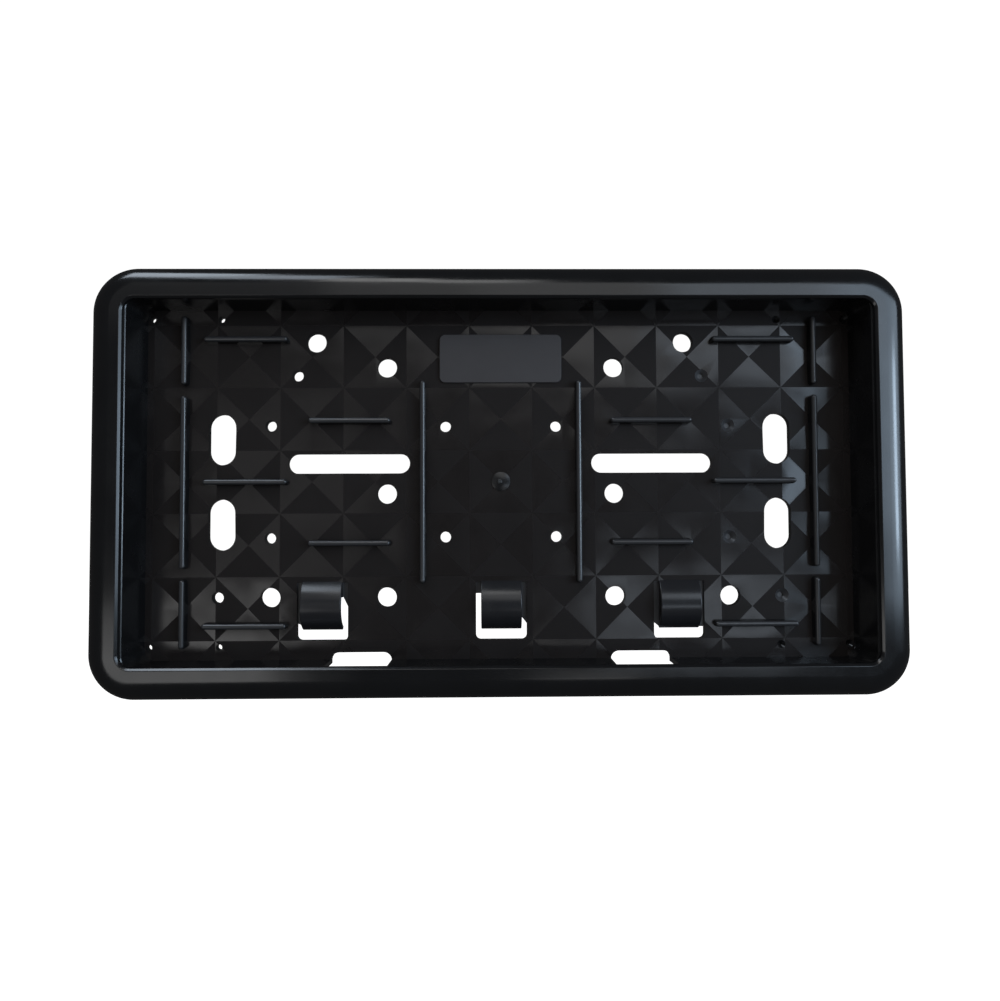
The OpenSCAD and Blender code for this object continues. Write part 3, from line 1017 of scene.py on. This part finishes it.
# Mask of the painted highlight: black 1.2 mm below a rib's top, fully lighter 0.2 mm below it.
painted_top_highlight = step(rib_tree, "ShaderNodeMapRange", {
    "Value": rib_depth.outputs["Y"],
    "From Min": -TOP_HIGHLIGHT_START * MM,
    "From Max": -TOP_HIGHLIGHT_FULL * MM,
    "To Min": 0.0,
    "To Max": 1.0,
})
rib_colour = rib_tree.nodes.new("ShaderNodeMix")
rib_colour.data_type = "RGBA"
rib_tree.links.new(painted_top_highlight.outputs[0], rib_colour.inputs[0])
rib_colour.inputs[6].default_value = (*BLACK, 1.0)
rib_colour.inputs[7].default_value = (*RIB_TOP_HIGHLIGHT, 1.0)
rib_tree.links.new(rib_colour.outputs[2], rib_shader.inputs["Base Color"])
plastic("tongue_gloss", (0.013, 0.013, 0.0145), 0.24, 0.04, 0.0001, 0.000001)
plastic("plaque_satin", (0.042, 0.0390, 0.0405), 0.5, 0.04, 0.0001, 0.000004, 0.3)
plastic("gate_scar", (0.02, 0.02, 0.02), 0.5, 0.1, 0.0001, 0.00003)
# A lighter grey that is painted light: light showing beside the tongues, and bright rings in the blind
# pilot marks.
plastic("painted_light_grey", (0.035, 0.035, 0.037), 0.4, 0.05, 0.0001, 0.000004)
plastic("back_satin", (0.010, 0.010, 0.011), 0.4, 0.05, 0.0003, 0.000004)
print("finishes filled:", len(finish))

# %% [markdown]
# ## Camera
# The photograph was taken by hand, almost square on, from about 30 cm, just below the tray's middle.
# The camera's place, its three small turns and its lens were fitted to the outline and to the holes.

# %% Camera
SENSOR = 36.0
PHOTO_W = 1000
LENS_PX = 680.0
CAMERA_AT = (-0.0042, -0.3045, -0.0174)
CAMERA_TURNS = {"Z": -0.717, "X": 1.846, "Y": 0.238}
turned = Matrix.Identity(3)
for axis, degrees in CAMERA_TURNS.items():
    turned = turned @ Matrix.Rotation(math.radians(degrees), 3, axis)
right = turned @ Vector((1, 0, 0))
ahead = turned @ Vector((0, 1, 0))
up = turned @ Vector((0, 0, 1))
camera = bpy.data.objects.new("camera", bpy.data.cameras.new("camera"))
camera.data.sensor_width = SENSOR
camera.data.sensor_fit = "HORIZONTAL"
camera.data.lens = LENS_PX * SENSOR / PHOTO_W
camera.data.clip_start = 0.01
camera.matrix_world = Matrix.Translation(CAMERA_AT) @ Matrix((right, up, -ahead)).transposed().to_4x4()
bpy.context.scene.collection.objects.link(camera)
bpy.context.scene.camera = camera
print("lens", round(camera.data.lens, 2), "mm")

# %% [markdown]
# ## Studio
# The tray hangs in a bright white room, so the world is white where the camera sees it directly, and
# dim where the plastic mirrors it. A pale floor lies well below. Black gloss shows only what it
# mirrors, so the lights are soft panels, one for each bright patch: a cool window to the right, pale
# shelves and a ceiling above, a table below. The front of the tray is a flat mirror, and what it shows
# is seen as if from the camera's mirror image behind it. So each panel is placed from there, by its
# direction to the side and up, in degrees.

# %% World and floor
world = bpy.data.worlds.new("studio")
bpy.context.scene.world = world
world.use_nodes = True
backdrop = world.node_tree.nodes["Background"]
path = step(world.node_tree, "ShaderNodeLightPath")
SEEN = 1.05
MIRRORED = 0.06
AMBIENT = 0.2
mirrored = maths(world.node_tree, "MULTIPLY", path.outputs["Is Glossy Ray"], MIRRORED)
ambient = maths(world.node_tree, "MULTIPLY", path.outputs["Is Diffuse Ray"], AMBIENT)
seen = maths(world.node_tree, "MULTIPLY", path.outputs["Is Camera Ray"], SEEN)
total = maths(world.node_tree, "ADD", maths(world.node_tree, "ADD", mirrored, ambient), seen)
world.node_tree.links.new(total, backdrop.inputs["Strength"])
backdrop.inputs["Color"].default_value = (1.0, 1.0, 1.0, 1.0)
bpy.context.scene.view_settings.view_transform = "Standard"
bpy.context.scene.view_settings.look = "None"

FLOOR_Z = -0.65
FLOOR_HALF = 6.0
ground_mesh = bpy.data.meshes.new("studio_floor")
ground_corners = [(side * FLOOR_HALF, -FLOOR_HALF, FLOOR_Z) for side in (-1, 1)]
ground_corners += [(side * FLOOR_HALF, FLOOR_HALF, FLOOR_Z) for side in (1, -1)]
ground_mesh.from_pydata(ground_corners, [], [(0, 1, 2, 3)])
ground = solid("studio_floor", ground_mesh)
pale = bpy.data.materials.new("pale_floor")
pale.use_nodes = True
pale_shader = pale.node_tree.nodes["Principled BSDF"]
pale_shader.inputs["Base Color"].default_value = (0.9, 0.9, 0.9, 1.0)
pale_shader.inputs["Roughness"].default_value = 0.8
pale_shader.inputs["Emission Color"].default_value = (1.0, 1.0, 1.0, 1.0)
pale_shader.inputs["Emission Strength"].default_value = 1.0
ground_mesh.materials.append(pale)
ground.visible_glossy = False
ground.visible_diffuse = False


# %% Lights
FACE_Y = -0.0225
MIRROR_AT = Vector((CAMERA_AT[0], 2 * FACE_Y - CAMERA_AT[1], CAMERA_AT[2]))


def panel(name, azimuths, elevations, radiance, colour=(1.0, 1.0, 1.0), distance=1.4):
    """Soft panel between two azimuths and two elevations, seen from the camera's mirror image."""
    turn = math.radians(sum(azimuths) / 2)
    climb = math.radians(sum(elevations) / 2)
    away = Vector((math.sin(turn) * math.cos(climb), -math.cos(turn) * math.cos(climb), math.sin(climb)))
    lamp = bpy.data.lights.new(name, "AREA")
    lamp.shape = "RECTANGLE"
    lamp.size = 2 * distance * math.cos(climb) * math.tan(math.radians(azimuths[1] - azimuths[0]) / 2)
    lamp.size_y = 2 * distance * math.tan(math.radians(elevations[1] - elevations[0]) / 2)
    lamp.energy = radiance * lamp.size * lamp.size_y * math.pi
    lamp.color = colour
    holder = bpy.data.objects.new(name, lamp)
    facing = away.to_track_quat("Z", "Y").to_matrix().to_4x4()
    holder.matrix_world = Matrix.Translation(MIRROR_AT + away * distance) @ facing
    holder.visible_camera = False
    bpy.context.scene.collection.objects.link(holder)


COOL = (0.78, 0.88, 1.0)
SKY = (0.64, 0.81, 1.0)
panel("window_right", (28, 60), (-6.5, 22), 3.6, SKY)
panel("window_glow", (26.5, 41), (0, 12), 1.3, SKY)
panel("window_core", (41, 49), (-2, 12), 13.0, SKY, 1.3)
panel("shelf_right", (15, 28.5), (12, 25), 2.2, COOL, 1.45)
panel("shelf_middle", (-2, 15), (12, 28), 1.0)
panel("shelf_left", (-14, -2), (15, 29), 0.75)
panel("shelf_far_left", (-30, -14), (15, 27), 0.24)
panel("ceiling_far_left", (-50, -30), (39, 53), 7.5, COOL)
panel("ceiling_left", (-30, -16), (36, 48), 5.0, COOL)
panel("ceiling_middle", (-16, -6), (30, 40), 3.8)
panel("ceiling_near", (-6, 4), (28, 36), 3.0)
panel("room_left", (-25, -10), (-4, 10), 0.3)
panel("table_left", (-34, -17), (-17, -6.5), 1.9)
panel("table_middle", (4, 12), (-17, -11.5), 1.1)
panel("room_below", (9, 24), (-9.5, -4.5), 2.4, COOL)
print("panels:", sum(1 for lamp in bpy.data.lights if lamp.type == "AREA"))
